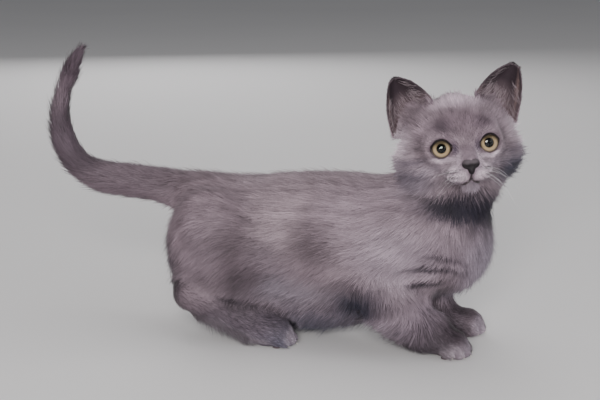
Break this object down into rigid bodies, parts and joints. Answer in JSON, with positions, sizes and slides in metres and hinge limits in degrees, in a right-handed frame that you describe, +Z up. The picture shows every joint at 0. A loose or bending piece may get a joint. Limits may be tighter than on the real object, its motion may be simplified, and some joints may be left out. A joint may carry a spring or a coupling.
{
  "type": "munchkin cat",
  "caption": "life-size museum-style model of a short-legged grey kitten, standing side on with its head turned to the viewer and its tail raised in a curl",
  "frame": {"origin": "on the floor, at the middle of the whole model's bounding box seen from above", "axes": "+X runs along the back from rump to chest, +Y to the cat's left, +Z up; the face looks towards -Y, away to +X"},
  "size_m": [0.282, 0.0904, 0.166],
  "materials": {
    "coat": "short, dense, plush grey fur",
    "ear_skin": "thin dark skin with fine hair",
    "eye": "wet and clear over a golden-grey iris",
    "nose_skin": "fine-grained, slightly moist skin"
  },
  "bodies": {
    "root": {"torso": "coat", "neck": "coat", "head": "coat", "tail_root": "coat", "tail_middle": "coat", "tail_tip": "coat", "thigh_left": "coat", "thigh_right": "coat", "hindfoot_left": "coat", "hindfoot_right": "coat", "foreleg_left": "coat", "foreleg_right": "coat", "forepaw_left": "coat", "forepaw_right": "coat", "ear_left": "ear_skin", "ear_right": "ear_skin", "eye_left": "eye", "eye_right": "eye", "nose_pad": "nose_skin"}
  },
  "joints": []
}
